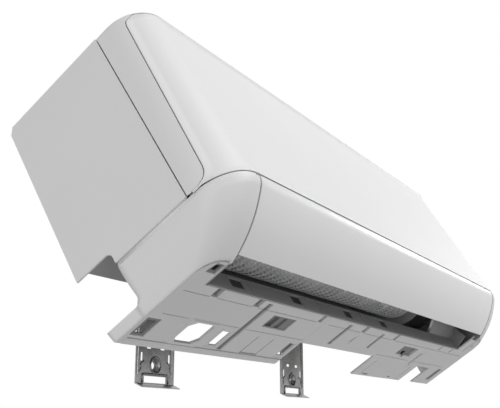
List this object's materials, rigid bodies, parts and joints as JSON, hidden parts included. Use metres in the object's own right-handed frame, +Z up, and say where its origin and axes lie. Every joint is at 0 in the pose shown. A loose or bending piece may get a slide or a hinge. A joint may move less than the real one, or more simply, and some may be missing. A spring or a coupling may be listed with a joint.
{
  "type": "mini split indoor unit",
  "caption": "Wall hung indoor unit of a split air conditioner on its hooked steel plate, swung out at the bottom, with lift-up panel, vane, louvers, fan and lift-out filters.",
  "frame": {"origin": "middle of the wall plate's centre pad, on the wall", "axes": "+X to the right seen from the room, +Y into the wall, +Z up"},
  "size_m": [0.91, 0.3024, 0.3924],
  "materials": {
    "galvanised_plate": "spangled zinc",
    "white_face": "gloss",
    "white_shell": "satin",
    "frame_plastic": "moulded",
    "cover_plastic": "fine grain",
    "pan_plastic": "moulded",
    "fins": "finned",
    "end_sheet": "galvanised",
    "copper": "copper, bright",
    "brass_nut": "machined",
    "steel": "satin",
    "fan_plastic": "moulded",
    "motor_case": "cast",
    "small_motor": "satin",
    "rubber_part": "matte",
    "bush_plastic": "moulded",
    "louver_plastic": "moulded",
    "board": "solder mask",
    "dark_plastic": "gloss",
    "button_plastic": "moulded",
    "filter_plastic": "moulded",
    "filter_cloth": "fine net"
  },
  "bodies": {
    "wall_plate": {"mounting_plate": "galvanised_plate"},
    "chassis": {"base_frame": "frame_plastic", "hang_bars": "steel", "upper_casing": "white_shell", "top_grille": "frame_plastic", "lower_casing": "white_shell", "bottom_cover_left": "cover_plastic", "bottom_cover_right": "cover_plastic", "drain_pan": "pan_plastic", "coil_front": "fins", "coil_upper": "fins", "coil_rear": "fins", "coil_bends": "copper", "coil_end_plates": "end_sheet", "gas_pipe": "copper", "liquid_pipe": "copper", "gas_flare_nut": "brass_nut", "liquid_flare_nut": "brass_nut", "drain_spout": "pan_plastic", "fan_motor": "motor_case", "motor_bracket": "frame_plastic", "fan_bush": "rubber_part", "control_box": "frame_plastic", "control_box_cover": "frame_plastic", "circuit_board": "board", "terminal_block": "dark_plastic", "display_board": "board", "room_sensor": "rubber_part", "vane_bushes": "bush_plastic", "vane_hanger": "frame_plastic", "vane_motor": "small_motor", "louver_rail": "frame_plastic", "louver_motor": "small_motor", "casing_screws": "steel"},
    "fan": {"cross_flow_fan": "fan_plastic", "fan_shafts": "steel"},
    "vane": {"vane_skin": "white_face", "vane_liner": "cover_plastic", "vane_pins": "steel"},
    "panel": {"face_plate": "white_face", "panel_frame": "white_shell", "panel_hinge_pins": "steel", "display_window": "dark_plastic"},
    "filter_lh": {"filter_left": "filter_plastic", "filter_mesh_left": "filter_cloth"},
    "filter_rh": {"filter_right": "filter_plastic", "filter_mesh_right": "filter_cloth"},
    "button": {"emergency_button": "button_plastic"},
    "crank": {"louver_crank": "louver_plastic"},
    "link": {"louver_link": "louver_plastic"},
    "sideways_louver_1": {"louver_1": "louver_plastic"},
    "sideways_louver_2": {"louver_2": "louver_plastic"},
    "sideways_louver_3": {"louver_3": "louver_plastic"},
    "sideways_louver_4": {"louver_4": "louver_plastic"},
    "sideways_louver_5": {"louver_5": "louver_plastic"},
    "sideways_louver_6": {"louver_6": "louver_plastic"},
    "sideways_louver_7": {"louver_7": "louver_plastic"},
    "sideways_louver_8": {"louver_8": "louver_plastic"},
    "sideways_louver_9": {"louver_9": "louver_plastic"},
    "sideways_louver_10": {"louver_10": "louver_plastic"}
  },
  "joints": [
    {"name": "hang_swing", "type": "hinge", "parent": "wall_plate", "child": "chassis", "pos_m": [0, -0.01, 0.075], "axis": [1, 0, 0], "range_deg": [-7.2, 32.8]},
    {"name": "fan_spin", "type": "hinge", "parent": "chassis", "child": "fan", "pos_m": [0, -0.16596, -0.01841], "axis": [1, 0, 0], "continuous": true},
    {"name": "vane_swing", "type": "hinge", "parent": "chassis", "child": "vane", "pos_m": [0, -0.27535, -0.04784], "axis": [1, 0, 0], "range_deg": [0, 45]},
    {"name": "panel_lift", "type": "hinge", "parent": "chassis", "child": "panel", "pos_m": [0, -0.12951, 0.15797], "axis": [-1, 0, 0], "range_deg": [0, 70]},
    {"name": "filter_lh_slide", "type": "slide", "parent": "chassis", "child": "filter_lh", "axis": [0, 0.5417, 0.8406], "range_m": [0, 0.06]},
    {"name": "filter_rh_slide", "type": "slide", "parent": "chassis", "child": "filter_rh", "axis": [0, 0.5417, 0.8406], "range_m": [0, 0.06]},
    {"name": "button_press", "type": "slide", "parent": "chassis", "child": "button", "axis": [0, 0.8406, -0.5417], "range_m": [0, 0.0015], "stiffness_N_per_m": 300, "springref_m": -0.0005},
    {"name": "crank_turn", "type": "hinge", "parent": "chassis", "child": "crank", "pos_m": [0.313, -0.24771, -0.04186], "axis": [0, 0.5417, 0.8406], "range_deg": [-30, 30]},
    {"name": "link_slide", "type": "slide", "parent": "chassis", "child": "link", "axis": [1, 0, 0], "range_m": [-0.0085, 0.0085]},
    {"name": "louver_turn_1", "type": "hinge", "parent": "chassis", "child": "sideways_louver_1", "pos_m": [-0.372, -0.24771, -0.04186], "axis": [0, 0.5417, 0.8406], "range_deg": [-30.5, 30.5]},
    {"name": "louver_turn_2", "type": "hinge", "parent": "chassis", "child": "sideways_louver_2", "pos_m": [-0.306, -0.24771, -0.04186], "axis": [0, 0.5417, 0.8406], "range_deg": [-30.5, 30.5]},
    {"name": "louver_turn_3", "type": "hinge", "parent": "chassis", "child": "sideways_louver_3", "pos_m": [-0.24, -0.24771, -0.04186], "axis": [0, 0.5417, 0.8406], "range_deg": [-30.5, 30.5]},
    {"name": "louver_turn_4", "type": "hinge", "parent": "chassis", "child": "sideways_louver_4", "pos_m": [-0.174, -0.24771, -0.04186], "axis": [0, 0.5417, 0.8406], "range_deg": [-30.5, 30.5]},
    {"name": "louver_turn_5", "type": "hinge", "parent": "chassis", "child": "sideways_louver_5", "pos_m": [-0.108, -0.24771, -0.04186], "axis": [0, 0.5417, 0.8406], "range_deg": [-30.5, 30.5]},
    {"name": "louver_turn_6", "type": "hinge", "parent": "chassis", "child": "sideways_louver_6", "pos_m": [-0.042, -0.24771, -0.04186], "axis": [0, 0.5417, 0.8406], "range_deg": [-30.5, 30.5]},
    {"name": "louver_turn_7", "type": "hinge", "parent": "chassis", "child": "sideways_louver_7", "pos_m": [0.024, -0.24771, -0.04186], "axis": [0, 0.5417, 0.8406], "range_deg": [-30.5, 30.5]},
    {"name": "louver_turn_8", "type": "hinge", "parent": "chassis", "child": "sideways_louver_8", "pos_m": [0.09, -0.24771, -0.04186], "axis": [0, 0.5417, 0.8406], "range_deg": [-30.5, 30.5]},
    {"name": "louver_turn_9", "type": "hinge", "parent": "chassis", "child": "sideways_louver_9", "pos_m": [0.156, -0.24771, -0.04186], "axis": [0, 0.5417, 0.8406], "range_deg": [-30.5, 30.5]},
    {"name": "louver_turn_10", "type": "hinge", "parent": "chassis", "child": "sideways_louver_10", "pos_m": [0.222, -0.24771, -0.04186], "axis": [0, 0.5417, 0.8406], "range_deg": [-30.5, 30.5]}
  ],
  "couplings": [
    {"joint": "link_slide", "follows": "crank_turn", "m_per_rad": -0.016},
    {"joint": "louver_turn_1", "follows": "crank_turn", "ratio": 1},
    {"joint": "louver_turn_2", "follows": "crank_turn", "ratio": 1},
    {"joint": "louver_turn_3", "follows": "crank_turn", "ratio": 1},
    {"joint": "louver_turn_4", "follows": "crank_turn", "ratio": 1},
    {"joint": "louver_turn_5", "follows": "crank_turn", "ratio": 1},
    {"joint": "louver_turn_6", "follows": "crank_turn", "ratio": 1},
    {"joint": "louver_turn_7", "follows": "crank_turn", "ratio": 1},
    {"joint": "louver_turn_8", "follows": "crank_turn", "ratio": 1},
    {"joint": "louver_turn_9", "follows": "crank_turn", "ratio": 1},
    {"joint": "louver_turn_10", "follows": "crank_turn", "ratio": 1}
  ]
}
